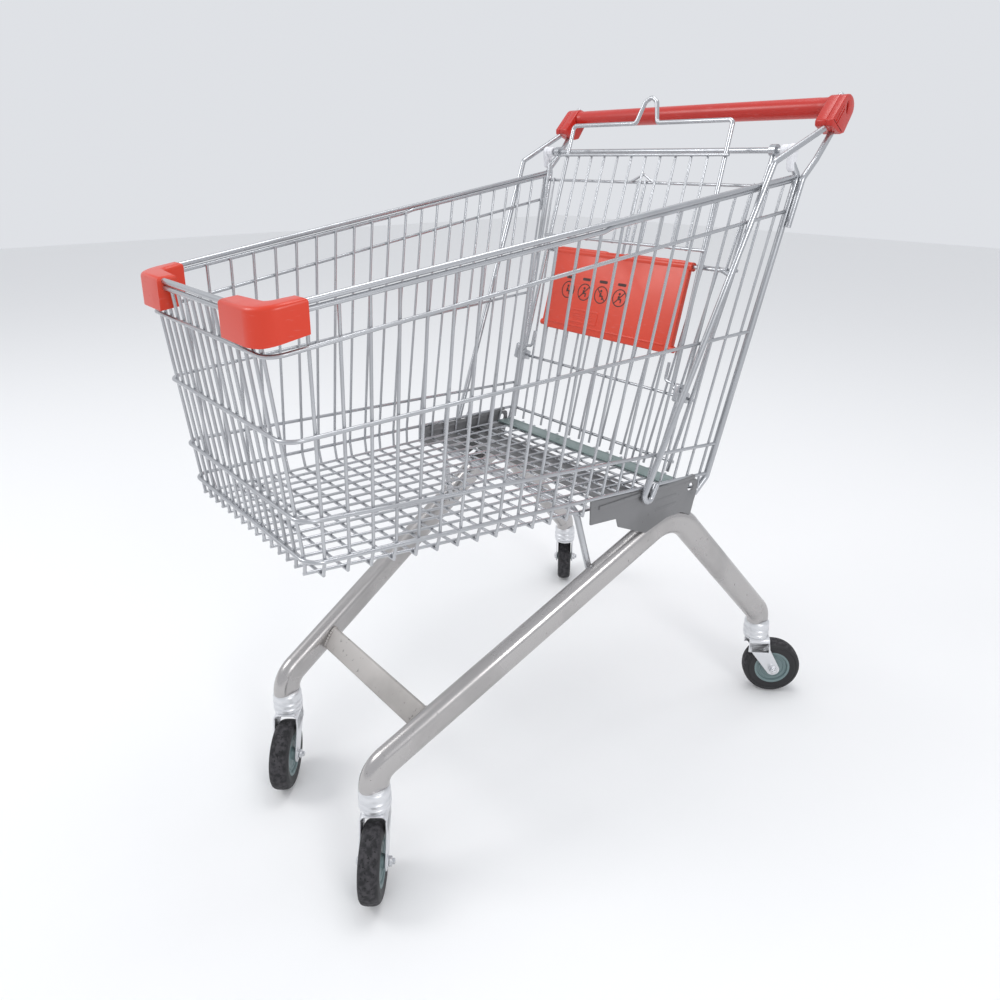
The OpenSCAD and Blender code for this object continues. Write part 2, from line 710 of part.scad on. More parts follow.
seat_rows = [17, 160];
back_wires = 10;
module seat_wires() {
  color("whitesmoke") at_gate() {
    for (u = seat_rows)
      bar(gp(-seat_half - 6, u, seat_w + 5.2), gp(seat_half + 6, u, seat_w + 5.2), row_d);
    for (i = [1:back_wires]) {
      x = seat_half * (2 * i / (back_wires + 1) - 1) * 0.98;
      bar(gp(x, seat_rows[0] - 2.5, seat_w + 1), gp(x, seat_rows[1] + 2.5, seat_w + 1), mesh_d);
    }
  }
}

// Moulded seat board on the pivot rod, with its notch, hubs, lugs and pressed field.
board_top = 176;
board_low = 322;
module seat_board() {
  mid = (board_top + board_low) / 2;
  half = board_w / 2;
  face = pivot_w + 1 + board_t / 2;
  color("tomato") at_gate()
    difference() {
      union() {
        translate([0, -pivot_w - 1, -mid]) rotate([90, 0, 0])
          linear_extrude(board_t, center = true) board_outline(half, (board_low - board_top) / 2);
        translate([0, -pivot_w, -pivot_u]) rotate([0, 90, 0]) cylinder(h = board_w + 8, d = pivot_d + 8, center = true);
        for (s = [-1, 1])
          translate([s * (half - 2), -pivot_w - 1, -board_low + 8]) rotate([0, 90, 0]) cylinder(h = 12, d = 11, center = true);
      }
      translate([0, -pivot_w, -pivot_u]) rotate([0, 90, 0]) cylinder(h = board_w + 20, d = pivot_d + 2 * fit_gap + 0.1, center = true);
      translate([-20, -face - 4, -board_low + 14]) cube([70, 5, 24]);
      for (i = [0:3]) translate([-90 + i * 42, -face - 4, -mid + 6]) rotate([-90, 0, 0])
        difference() {
          cylinder(h = 4.8, d = 34);
          cylinder(h = 12, d = 28, center = true);
        }
    }
}
module board_outline(half, tall) {
  r = 12;
  difference() {
    union() {
      square([2 * half, 2 * tall - 2 * r], center = true);
      square([2 * half - 2 * r, 2 * tall], center = true);
      for (x = [-1, 1]) for (y = [-1, 1]) translate([x * (half - r), y * (tall - r)]) circle(r = r + 0.02);
    }
    translate([-26, tall - 7]) square([40, 12]);
  }
}

chassis_tube_left();
chassis_tube_right();
front_cross_bar();
rear_cross_channel();
brace_rod();
side_plate_left();
side_plate_right();
threshold_strip();
basket_floor();
basket_front();
basket_side_left();
basket_side_right();
ring_wire_1();
ring_wire_2();
ring_wire_3();
ring_wire_4();
rim_wire_upper();
rim_wire_lower();
rear_post_left();
rear_post_right();
handle_strut_left();
handle_strut_right();
handle_stay_left();
handle_stay_right();
corner_bumper_left();
corner_bumper_right();
handle_core();
handle_grip();
handle_bracket_left();
handle_bracket_right();
bracket_screws();
hinge_rod();
hinge_bearing_left();
hinge_bearing_right();
headset_cups();
front_left() fork();  // front_left_fork
front_left() axle(-1);  // front_left_axle
front_left() hub();  // front_left_hub
front_left() tyre();  // front_left_tyre
front_right() fork();  // front_right_fork
front_right() axle(-1);  // front_right_axle
front_right() hub();  // front_right_hub
front_right() tyre();  // front_right_tyre
rear_left() fork();  // rear_left_fork
rear_left() axle(1);  // rear_left_axle
rear_left() hub();  // rear_left_hub
rear_left() tyre();  // rear_left_tyre
rear_right() fork();  // rear_right_fork
rear_right() axle(1);  // rear_right_axle
rear_right() hub();  // rear_right_hub
rear_right() tyre();  // rear_right_tyre
gate_frame();
gate_wires();
board_pivot_rod();
seat_clips();
seat_frame();
seat_wires();
seat_board();
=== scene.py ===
"""Looks of a supermarket shopping cart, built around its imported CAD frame."""

import json
import math

import bmesh
import bpy
from bpy.props import FloatProperty, FloatVectorProperty, IntProperty, PointerProperty
from mathutils import Matrix, Vector


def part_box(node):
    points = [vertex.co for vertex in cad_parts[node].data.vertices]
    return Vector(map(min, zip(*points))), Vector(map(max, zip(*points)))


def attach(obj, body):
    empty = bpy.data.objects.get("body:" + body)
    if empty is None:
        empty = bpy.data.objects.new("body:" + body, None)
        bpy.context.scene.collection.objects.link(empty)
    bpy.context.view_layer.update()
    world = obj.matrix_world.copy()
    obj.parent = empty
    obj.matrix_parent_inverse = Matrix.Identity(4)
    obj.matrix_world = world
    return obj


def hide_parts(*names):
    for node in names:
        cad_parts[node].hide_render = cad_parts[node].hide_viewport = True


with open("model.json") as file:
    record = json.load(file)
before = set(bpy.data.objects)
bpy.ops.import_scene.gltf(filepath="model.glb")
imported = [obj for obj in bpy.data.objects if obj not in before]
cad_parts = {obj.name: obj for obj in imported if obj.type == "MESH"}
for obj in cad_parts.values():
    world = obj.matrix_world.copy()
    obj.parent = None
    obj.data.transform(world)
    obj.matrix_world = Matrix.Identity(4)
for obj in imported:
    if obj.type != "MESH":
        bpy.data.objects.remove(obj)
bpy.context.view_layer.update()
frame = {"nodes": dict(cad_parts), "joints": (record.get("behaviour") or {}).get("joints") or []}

bl_info = {
    "name": "Shopping Cart",
    "version": (1, 0, 0),
    "blender": (4, 5, 0),
    "location": "View3D > Sidebar > Cart",
    "description": "Builds the looks of a wire shopping cart round its CAD frame",
    "category": "Add Mesh",
}

MM = 0.001
JOINTS = {joint["name"]: joint for joint in frame["joints"]}
NODES = frame["nodes"]
CORNERS = ("front_left", "front_right", "rear_left", "rear_right")
SIDES = (("left", 1), ("right", -1))

HINGE = Vector(JOINTS["gate_swing"]["pos_m"])
GATE_LEAN = math.radians(15.8)
HANDLE = sum(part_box("handle_core"), Vector()) / 2

# Sizes that the frame doesn't give by itself, in millimetres and degrees.
BAR_SECTION = (34, 8)
BAR_TURN = 52
SHEET = 3
PLATE_TOP_FALL = 0.075
STRIP_SLOPE = -3.8
CLIP_HALF = 181
HUB_RADIUS = 31
FORK_GAP = 2
FORK_WALL = 2.5
CROWN = 112


# ---- shader helpers ----
class Reading:
    """A shader socket that takes part in plain arithmetic."""

    def __init__(self, look, socket):
        self.look = look
        self.socket = socket

    def _math(self, operation, *values):
        return self.look.add("ShaderNodeMath", {"operation": operation}, dict(enumerate(values)))

    def __add__(self, other):
        return self._math("ADD", self, other)

    __radd__ = __add__

    def __mul__(self, other):
        return self._math("MULTIPLY", self, other)

    __rmul__ = __mul__

    def over(self, low, high):
        """0 at low, 1 at high, smooth between."""
        settings = {"interpolation_type": "SMOOTHSTEP"}
        values = {"Value": self, "From Min": low, "From Max": high}
        return self.look.add("ShaderNodeMapRange", settings, values)


class Look:
    """A material whose nodes are added one call at a time."""

    def __init__(self, name, **fixed):
        self.material = bpy.data.materials.new(name)
        self.material.use_nodes = True
        self.tree = self.material.node_tree
        self.shader = self.tree.nodes["Principled BSDF"]
        for socket, value in fixed.items():
            self.shader.inputs[socket.replace("_", " ").title()].default_value = value
        self.place = self.add("ShaderNodeTexCoord", out="Object")

    def add(self, kind, settings=None, values=None, out=0):
        node = self.tree.nodes.new(kind)
        for key, value in (settings or {}).items():
            setattr(node, key, value)
        for key, value in (values or {}).items():
            if isinstance(value, Reading):
                self.tree.links.new(value.socket, node.inputs[key])
            else:
                node.inputs[key].default_value = value
        return Reading(self, node.outputs[out])

    def noise(self, scale, detail=3.0, stretch=(1, 1, 1)):
        where = self.add("ShaderNodeMapping", {}, {"Vector": self.place, "Scale": stretch})
        return self.add("ShaderNodeTexNoise", {}, {"Vector": where, "Scale": scale, "Detail": detail})

    def mix(self, amount, first, second):
        settings = {"data_type": "RGBA"}
        return self.add("ShaderNodeMix", settings, {0: amount, 6: first, 7: second}, out=2)

    def feed(self, socket, value):
        self.tree.links.new(value.socket, self.shader.inputs[socket])

    def bump(self, height, strength, distance):
        values = {"Height": height, "Strength": strength, "Distance": distance}
        self.feed("Normal", self.add("ShaderNodeBump", {}, values))


def rgba(colour):
    return (*colour, 1.0)


def darker(colour, share):
    return (*(channel * share for channel in colour), 1.0)


def metal_look(name, colour, roughness, metallic, dull, spots):
    """Metal or metallic paint with dull patches and small dark spots."""
    look = Look(name, metallic=metallic, coat_weight=0.08)
    patches = look.noise(9.0, 4.0).over(0.42, 0.68)
    specks = look.noise(120.0, 2.0).over(0.66, 0.78)
    base = look.mix(patches * dull, rgba(colour), darker(colour, 0.72))
    look.feed("Base Color", look.mix(specks * spots, base, darker(colour, 0.3)))
    look.feed("Roughness", roughness + 0.14 * patches + 0.1 * specks)
    look.bump(look.noise(420.0, 2.0), 0.12, 0.0004)
    return look.material


def plastic_look(name, colour, roughness, grime=0.25):
    """Moulded plastic with a fine grain, faint scuffs and a little grime."""
    look = Look(name, coat_weight=0.18, coat_roughness=0.25)
    cloud = look.noise(14.0, 4.0).over(0.45, 0.75)
    scuffs = look.noise(60.0, 3.0, (1, 1, 5)).over(0.62, 0.74)
    base = look.mix(cloud * grime, rgba(colour), darker(colour, 0.78))
    pale = tuple(min(1.0, 0.75 * channel + 0.16) for channel in colour)
    look.feed("Base Color", look.mix(scuffs * 0.22, base, rgba(pale)))
    look.feed("Roughness", roughness + 0.12 * cloud + 0.16 * scuffs)
    look.bump(look.noise(900.0, 2.0), 0.1, 0.0003)
    return look.material


def tyre_look(colour, worn):
    """Black rubber whose tread is scuffed pale, by the tread attribute of the mesh."""
    look = Look("tyre_rubber", roughness=0.7)
    tread = look.add("ShaderNodeAttribute", {"attribute_name": "tread"}, out="Fac")
    wear = look.noise(150.0, 5.0).over(0.34, 0.66) * tread
    nicks = look.noise(240.0, 2.0).over(0.58, 0.66) * tread
    base = look.mix(wear, rgba(colour), rgba(worn))
    look.feed("Base Color", look.mix(nicks, base, darker(colour, 0.5)))
    look.feed("Roughness", 0.5 + 0.3 * tread)
    look.bump(look.noise(300.0, 4.0) * (0.2 + tread), 0.3, 0.001)
    return look.material


# ---- mesh helpers; every length here is in millimetres ----
def arc(centre, radius, start, end, steps):
    """Points on an arc, angles in degrees."""
    turns = [math.radians(start + (end - start) * i / steps) for i in range(steps + 1)]
    return [(centre[0] + radius * math.cos(t), centre[1] + radius * math.sin(t)) for t in turns]


def round_box(half_x, half_y, radius, centre=(0, 0)):
    """Outline of a rectangle with round corners."""
    cx, cy = centre
    x, y = half_x - radius, half_y - radius
    points = []
    for sx, sy, start in ((1, 1, 0), (-1, 1, 90), (-1, -1, 180), (1, -1, 270)):
        points += arc((cx + sx * x, cy + sy * y), radius, start, start + 90, 4)
    return points


def soften(bm, width, segments=2, sharper_than=35):
    """Bevels every edge that is sharper than the angle."""
    limit = math.radians(sharper_than)
    edges = [e for e in bm.edges if len(e.link_faces) == 2 and e.calc_face_angle() > limit]
    bmesh.ops.bevel(
        bm, geom=edges, offset=width, offset_type="OFFSET", segments=segments,
        profile=0.5, affect="EDGES", material=-1, clamp_overlap=True,
    )
    return bm


def plate(outline, thick, holes=(), edge=0.6, segments=2):
    """Flat plate on the XY plane, from 0 up to thick, with holes and softened edges."""
    bm = bmesh.new()
    edges = []
    for loop in (outline, *holes):
        ring = [bm.verts.new((x, y, 0)) for x, y in loop]
        edges += [bm.edges.new(pair) for pair in zip(ring, ring[1:] + ring[:1])]
    if holes:
        bmesh.ops.triangle_fill(bm, edges=edges, use_beauty=True)
    else:
        bmesh.ops.contextual_create(bm, geom=edges)
    made = bmesh.ops.extrude_face_region(bm, geom=bm.faces[:])["geom"]
    top = [v for v in made if isinstance(v, bmesh.types.BMVert)]
    bmesh.ops.translate(bm, vec=(0, 0, thick), verts=top)
    bmesh.ops.recalc_face_normals(bm, faces=bm.faces)
    return soften(bm, edge, segments) if edge else bm


def block(size, centre=(0, 0, 0), edge=1.0, segments=2):
    """Box with softened edges."""
    bm = bmesh.new()
    bmesh.ops.create_cube(bm, size=1)
    bmesh.ops.scale(bm, vec=size, verts=bm.verts)
    bmesh.ops.translate(bm, vec=centre, verts=bm.verts)
    return soften(bm, edge, segments)


def lathe(profile, steps=48, closed=False):
    """Profile of (radius, along) turned about the X axis."""
    bm = bmesh.new()
    line = [bm.verts.new((along, radius, 0)) for radius, along in profile]
    edges = [bm.edges.new(pair) for pair in zip(line, line[1:])]
    if closed:
        edges.append(bm.edges.new((line[-1], line[0])))
    bmesh.ops.spin(
        bm, geom=line + edges, cent=(0, 0, 0), axis=(1, 0, 0), dvec=(0, 0, 0),
        angle=2 * math.pi, steps=steps, use_merge=True,
    )
    bmesh.ops.remove_doubles(bm, verts=bm.verts, dist=0.001)
    bmesh.ops.recalc_face_normals(bm, faces=bm.faces)
    return bm


def join(*parts):
    """One bmesh out of several."""
    whole = bmesh.new()
    for bm in parts:
        mesh = bpy.data.meshes.new("part")
        bm.to_mesh(mesh)
        bm.free()
        whole.from_mesh(mesh)
        bpy.data.meshes.remove(mesh)
    return whole


def moved(bm, *transforms):
    """The bmesh after the transforms, the last one first."""
    place = Matrix.Identity(4)
    for transform in transforms:
        place = place @ transform
    bmesh.ops.transform(bm, matrix=place, verts=bm.verts)
    if place.determinant() < 0:
        bmesh.ops.reverse_faces(bm, faces=bm.faces)
    return bm


def shift(x, y, z):
    return Matrix.Translation((x, y, z))


def turn(angle, axis):
    return Matrix.Rotation(math.radians(angle), 4, axis)


TO_METRES = Matrix.Diagonal((MM, MM, MM, 1))
UPRIGHT = turn(90, "X")
ALONG_X = Matrix(((0, 0, 1, 0), (1, 0, 0, 0), (0, 1, 0, 0), (0, 0, 0, 1)))
ALONG_Z = turn(-90, "Y")


def flipped(sign):
    """Mirrors across the middle when the sign is negative."""
    return Matrix.Diagonal((sign, 1, 1, 1))


def gate_place():
    """Millimetres on the gate, x across and z up it from the hinge, to the row frame."""
    return Matrix.Translation(HINGE) @ Matrix.Rotation(-GATE_LEAN, 4, "X") @ TO_METRES


def on_gate(joint):
    """Where a joint's axis crosses the gate's middle plane, in the gate's millimetres."""
    return gate_place().inverted() @ Vector(JOINTS[joint]["pos_m"])


def finish_piece(name, bm, place, look, body, stands_for=(), sharp=38):
    """Places the bmesh, given in millimetres, and lets it ride on its body."""
    moved(bm, place)
    mesh = bpy.data.meshes.new(name)
    bm.to_mesh(mesh)
    bm.free()
    mesh.shade_smooth()
    mesh.set_sharp_from_angle(angle=math.radians(sharp))
    mesh.materials.append(bpy.data.materials[look])
    piece = bpy.data.objects.new(name, mesh)
    bpy.context.scene.collection.objects.link(piece)
    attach(piece, body)
    if stands_for:
        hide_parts(*stands_for)
    return piece


def dress(names, look, smooth=True):
    """Gives CAD nodes a material."""
    for name in names:
        mesh = NODES[name].data
        mesh.materials.clear()
        mesh.materials.append(bpy.data.materials[look])
        if smooth:
            mesh.shade_smooth()
            mesh.set_sharp_from_angle(angle=math.radians(32))


# ---- sizes and colours that a user would change ----
def colour_property(name, description, default):
    return FloatVectorProperty(
        name=name, description=description, default=default, size=3, subtype="COLOR", min=0, max=1
    )


class CartMetals(bpy.types.PropertyGroup):
    """Colours of the wires, tubes and plates"""

    zinc: colour_property("Zinc", "Colour of the plated wires", (0.50, 0.51, 0.53))
    silver: colour_property("Silver paint", "Colour of the bent chassis tubes", (0.47, 0.455, 0.45))
    bar: colour_property("Bar", "Colour of the front cross bar", (0.50, 0.475, 0.455))
    plate: colour_property("Plates", "Colour of the plates under the basket", (0.21, 0.21, 0.215))
    strip: colour_property("Strip", "Colour of the strip at the floor's rear", (0.27, 0.34, 0.33))
    wire_roughness: FloatProperty(
        name="Wire roughness", description="Roughness of the plated wires", default=0.26, min=0, max=1
    )


class CartPlastics(bpy.types.PropertyGroup):
    """Colours of the moulded parts"""

    bumper: colour_property("Bumpers", "Colour of the corner bumpers", (0.66, 0.036, 0.008))
    handle: colour_property("Handle", "Colour of the handle and its brackets", (0.50, 0.019, 0.011))
    board: colour_property("Board", "Colour of the seat board", (0.68, 0.05, 0.018))
    bearing: colour_property("Bearings", "Colour of the hinge bearings", (0.80, 0.80, 0.83))
    ink: colour_property("Ink", "Colour of the printed signs", (0.055, 0.02, 0.015))
    hub: colour_property("Hubs", "Colour of the wheel hubs", (0.16, 0.225, 0.23))


class CartCasters(bpy.types.PropertyGroup):
    """Sizes and colours of the four casters"""

    wheel_radius: FloatProperty(
        name="Wheel radius", description="Radius of the tyre, in millimetres", default=50, min=45, max=52
    )
    tyre_half: FloatProperty(
        name="Half tyre", description="Half the tyre's width, in millimetres", default=14, min=10, max=15
    )
    trail: FloatProperty(
        name="Trail", description="Axle's distance behind the swivel, in millimetres", default=32,
        min=20, max=38,
    )
    rubber: colour_property("Rubber", "Colour of the tyre's sides", (0.012, 0.012, 0.014))
    tread: colour_property("Worn tread", "Colour of the scuffed tread", (0.05, 0.047, 0.052))
    steps: IntProperty(name="Steps", description="Facets round a wheel", default=72, min=32, max=128)


# ---- basket, gate and posts ----
WIRE_NODES = (
    "basket_floor", "basket_front", "basket_side_left", "basket_side_right", "ring_wire_1", "ring_wire_2",
    "ring_wire_3", "ring_wire_4", "rim_wire_upper", "rim_wire_lower", "rear_post_left", "rear_post_right",
    "handle_strut_left", "handle_strut_right", "handle_stay_left", "handle_stay_right", "gate_frame",
    "gate_wires", "board_pivot_rod", "seat_frame", "seat_wires", "hinge_rod", "brace_rod",
)


class CART_OT_wires(bpy.types.Operator):
    """Plates every wire of the basket, the gate and the seat frame with zinc"""

    bl_idname = "cart.wires"
    bl_label = "Zinc wires"

    def execute(self, context):
        metals = context.scene.cart_metals
        metal_look("zinc_plate", tuple(metals.zinc), metals.wire_roughness, 0.9, 0.5, 0.25)
        dress(WIRE_NODES, "zinc_plate")
        return {"FINISHED"}


# ---- chassis ----
def side_plate_outline(low, high):
    """Outline of a side plate as (along, up), from its CAD box, in millimetres."""
    length = high.y - low.y
    top_front = high.z
    top_rear = high.z - PLATE_TOP_FALL * length
    return [
        (0, top_front), (0, top_front - 36), (50, top_front - 40), (54, top_front - 54),
        (110, low.z + 1), (154, low.z + 14), (186, low.z + 14), (207, low.z + 4), (213, low.z + 26),
        (length - 1, top_rear - 24), *arc((length - 7, top_rear - 8), 6, 0, 80, 4),
    ]


class CART_OT_chassis(bpy.types.Operator):
    """Paints the bent tubes and builds the bar, the plates, the channel and the strip between them"""

    bl_idname = "cart.chassis"
    bl_label = "Chassis"

    def execute(self, context):
        metals = context.scene.cart_metals
        metal_look("silver_paint", tuple(metals.silver), 0.24, 0.88, 0.5, 0.35)
        metal_look("bar_paint", tuple(metals.bar), 0.42, 0.35, 0.9, 0.9)
        metal_look("plate_paint", tuple(metals.plate), 0.42, 0.4, 0.5, 0.3)
        metal_look("strip_paint", tuple(metals.strip), 0.34, 0.55, 0.6, 0.4)
        dress(("chassis_tube_left", "chassis_tube_right"), "silver_paint")
        self.bar()
        self.plates()
        self.channel()
        self.strip()
        self.welds()
        return {"FINISHED"}

    def bar(self):
        low, high = (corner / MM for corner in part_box("front_cross_bar"))
        centre = (low + high) / 2
        bar = block((high.x - low.x, *BAR_SECTION), (0, 0, 0), 3, 4)
        place = TO_METRES @ shift(*centre) @ turn(BAR_TURN, "X")
        finish_piece("front_bar", bar, place, "bar_paint", "cart", ["front_cross_bar"])

    def plates(self):
        for side, sign in SIDES:
            low, high = (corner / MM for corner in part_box("side_plate_left"))
            yaw = math.degrees(math.atan2(high.x - low.x - SHEET, high.y - low.y))
            outline = side_plate_outline(low, high)
            hole_z = high.z - PLATE_TOP_FALL * 220 - 13
            hole = arc((high.y - low.y - 16, hole_z), 6.5, 0, 360, 16)[:-1]
            sheet = plate(outline, SHEET, [hole], 0.7)
            ribs = [block((46, 7, 4), (150, high.z - 34 - 14 * i, SHEET / 2), 1.8, 3) for i in range(2)]
            lip_y = 112
            lip = block((196, 6, 7), (lip_y, high.z - PLATE_TOP_FALL * lip_y - 5, SHEET - 1), 1.4)
            place = TO_METRES @ flipped(sign) @ shift(low.x, low.y, 0) @ turn(-yaw, "Z") @ ALONG_X
            whole = join(sheet, lip, *ribs)
            finish_piece(f"plate_{side}", whole, place, "plate_paint", "cart",
                         [f"side_plate_{side}"])

    def channel(self):
        low, high = (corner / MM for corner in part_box("rear_cross_channel"))
        half = (high.y - low.y) / 2
        deep = high.z - low.z
        chamfer = 2
        bore = half - SHEET
        outline = [
            (-half, -deep), (-half, -chamfer), (-half + chamfer, 0), (half - chamfer, 0),
            (half, -chamfer), (half, -deep), (bore, -deep), (bore, -SHEET),
            (-bore, -SHEET), (-bore, -deep),
        ]
        channel = plate(outline, high.x - low.x, (), 0.5)
        place = TO_METRES @ shift(low.x, (low.y + high.y) / 2, high.z) @ ALONG_X
        finish_piece("cross_channel", channel, place, "plate_paint", "cart",
                     ["rear_cross_channel"])

    def strip(self):
        low, high = (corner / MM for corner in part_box("threshold_strip"))
        width = high.x - low.x
        base = block((width, 33.4, 2.2), (0, 0, 0), 0.6)
        lip = block((width, 5, 6), (0, 14.2, -1.6), 0.8)
        dome = [(0, 3.1), (2.6, 2.6), (4, 1.2), (4.2, 0)]
        rivets = [moved(lathe(dome, 16), shift(share * width, 0, 0), ALONG_Z)
                  for share in (-0.44, -0.15, 0.15, 0.44)]
        centre = (low + high) / 2
        place = TO_METRES @ shift(*centre) @ turn(STRIP_SLOPE, "X")
        finish_piece("rear_strip", join(base, lip, *rivets), place, "strip_paint", "cart",
                     ["threshold_strip"])

    def welds(self):
        """Weld seams where the cross bar meets the tubes."""
        low, high = (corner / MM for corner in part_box("front_cross_bar"))
        centre = (low + high) / 2
        for side, sign in SIDES:
            beads = []
            for y, z in arc((0, 0), 1, 0, 360, 22)[:-1]:
                bead = bmesh.new()
                bmesh.ops.create_icosphere(bead, subdivisions=1, radius=3.0)
                beads.append(moved(bead, shift(0, 16 * y, 4.5 * z)))
            end = shift(high.x - 3.0, centre.y, centre.z)
            place = TO_METRES @ flipped(sign) @ end @ turn(BAR_TURN, "X")
            finish_piece(f"bar_weld_{side}", join(*beads), place, "bar_paint", "cart",
                         sharp=80)


# ---- corner bumpers ----
class CART_OT_bumpers(bpy.types.Operator):
    """Moulds the two corner bumpers over the front of the rim"""

    bl_idname = "cart.bumpers"
    bl_label = "Corner bumpers"

    def execute(self, context):
        plastic_look("bumper_plastic", tuple(context.scene.cart_plastics.bumper), 0.34)
        low, high = (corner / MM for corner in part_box("corner_bumper_left"))
        slope = 0.111
        rise = 0.147
        outer = 30.5
        tall = 40
        corner = (high.x - 5.1 - outer, low.y + outer)
        end_y = high.y - 0.2
        side_x = corner[0] + outer + slope * (end_y - corner[1])
        wall = [(low.x, low.y), *arc(corner, outer, -90, -6, 9), (side_x, end_y)]
        bend = (corner[0] - 4, corner[1] + 4)
        inner = [(side_x - 24, end_y), *arc(bend, 8, -6, -90, 4), (low.x, low.y + 23)]
        for side, sign in SIDES:
            cap = plate(wall + inner, tall, (), 0)
            floor = [f for f in cap.faces if f.normal.z < -0.9]
            bmesh.ops.delete(cap, geom=floor, context="FACES")
            upper = [e for e in cap.edges if all(v.co.z > tall - 1 for v in e.verts)]
            bmesh.ops.bevel(cap, geom=upper, offset=5.5, offset_type="OFFSET", segments=5, profile=0.5,
                            affect="EDGES", material=-1, clamp_overlap=True)
            bmesh.ops.solidify(cap, geom=cap.faces[:], thickness=2.6)
            for vert in cap.verts:
                back = max(0.0, vert.co.y - low.y - 8)
                share = vert.co.z / tall
                vert.co.z += back * (rise * share + 0.22 * (1 - share))
            place = TO_METRES @ flipped(sign) @ shift(0, 0, high.z - 7.6 - tall)
            finish_piece(f"bumper_{side}", cap, place, "bumper_plastic", "cart",
                         [f"corner_bumper_{side}"])
        return {"FINISHED"}


# ---- handle ----
class CART_OT_handle(bpy.types.Operator):
    """Builds the handle's sleeve, its end brackets and their screws"""

    bl_idname = "cart.handle"
    bl_label = "Handle"

    def execute(self, context):
        plastic_look("handle_plastic", tuple(context.scene.cart_plastics.handle), 0.3)
        metal_look("screw_steel", (0.6, 0.61, 0.63), 0.3, 0.95, 0.4, 0.1)
        dress(["handle_core"], "screw_steel")
        self.sleeve()
        for side, sign in SIDES:
            self.bracket(side, sign)
        self.screws()
        return {"FINISHED"}

    def sleeve(self):
        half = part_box("handle_grip")[1].x / MM
        profile = [
            (12.05, -half), (15, -half), (15, -half + 3), (14.7, -half + 4), (14.7, -half + 14),
            (14.95, -half + 16),
        ]
        mirrored = [(radius, -along) for radius, along in reversed(profile)]
        place = TO_METRES @ shift(*(HANDLE / MM))
        sleeve = lathe(profile + mirrored, 56, True)
        finish_piece("sleeve", sleeve, place, "handle_plastic", "cart", ["handle_grip"])

    def bracket(self, side, sign):
        low, high = (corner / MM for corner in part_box("handle_bracket_left"))
        y, z = HANDLE.y / MM, HANDLE.z / MM
        top = 17.6
        foot_front, foot_rear = low.y + 1, y - 6
        body = [*arc((y, z), top, 128, -38, 12), (foot_rear + 2, low.z + 3), (foot_rear - 8, low.z + 1),
                (foot_front, low.z + 12), (foot_front - 0.4, low.z + 20)]
        slot = [(y - 2 + 3 * a, z - 1 + 9 * b) for a, b in arc((0, 0), 1, 0, 360, 16)[:-1]]
        inner = plate(body, 18, (), 2.4, 3)
        outer = moved(plate(body, 10.5, [slot], 2.6, 3), shift(0, 0, 17.5))
        foot = (foot_front + foot_rear) / 2
        collar = block((34, 4, 24), (0, 0, 0), 1.5, 3)
        moved(collar, shift(foot - 2, low.z + 12.5, 16), turn(-31, "Z"))
        ribs = []
        for i in range(2):
            rib = block((30, 1.6, 1.4), (0, 0, 0), 0.5)
            ribs.append(moved(rib, shift(y - 19 - 2.4 * i, z - 14 + 4.5 * i, 28.2), turn(48, "Z")))
        shell = join(inner, outer, collar, *ribs)
        place = TO_METRES @ flipped(sign) @ shift(low.x + 0.2, 0, 0) @ ALONG_X
        finish_piece(f"bracket_{side}", shell, place, "handle_plastic", "cart",
                     [f"handle_bracket_{side}"])

    def screws(self):
        low, high = (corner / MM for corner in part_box("bracket_screws"))
        heads = []
        for sign in (-1, 1):
            dome = lathe([(0, 3), (2, 2.8), (3.6, 1.8), (4.3, 0), (4.3, -1)], 24)
            cross = [block((5, 1, 1), (0, 0, 3), 0.2), block((1, 5, 1), (0, 0, 3), 0.2)]
            head = join(moved(dome, ALONG_Z), *cross)
            heads.append(moved(head, shift(sign * (high.x - 4.5), (low.y + high.y) / 2, low.z)))
        finish_piece("screws", join(*heads), TO_METRES, "screw_steel", "cart",
                     ["bracket_screws"])


class CART_OT_bearings(bpy.types.Operator):
    """Moulds the white bearings that carry the gate's hinge rod"""

    bl_idname = "cart.bearings"
    bl_label = "Hinge bearings"

    def execute(self, context):
        plastic_look("bearing_plastic", tuple(context.scene.cart_plastics.bearing), 0.42, 0.12)
        for side, sign in SIDES:
            low, high = (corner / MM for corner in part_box("hinge_bearing_left"))
            y, z = HINGE.y / MM, HINGE.z / MM
            bore = arc((y, z), 4.6, 0, 360, 20)[:-1]
            cheek = [
                *arc((y, z), 9.9, 20, 200, 12), (y - 8, low.z + 5), (y - 4, low.z + 1),
                (y + 5, low.z + 1), (y + 7, z - 3),
            ]
            barrel = plate(arc((y, z), 8.6, 0, 360, 28)[:-1], 12, [bore], 1.2, 2)
            dome = moved(plate(cheek, 9.5, (), 2.4, 4), shift(0, 0, 12))
            nub = block((5, 5, 4), (y - 1, low.z + 2.5, 15), 1.2)
            place = TO_METRES @ flipped(sign) @ shift(low.x, 0, 0) @ ALONG_X
            finish_piece(f"bearing_{side}", join(barrel, dome, nub), place, "bearing_plastic", "cart",
                         [f"hinge_bearing_{side}"])
        return {"FINISHED"}


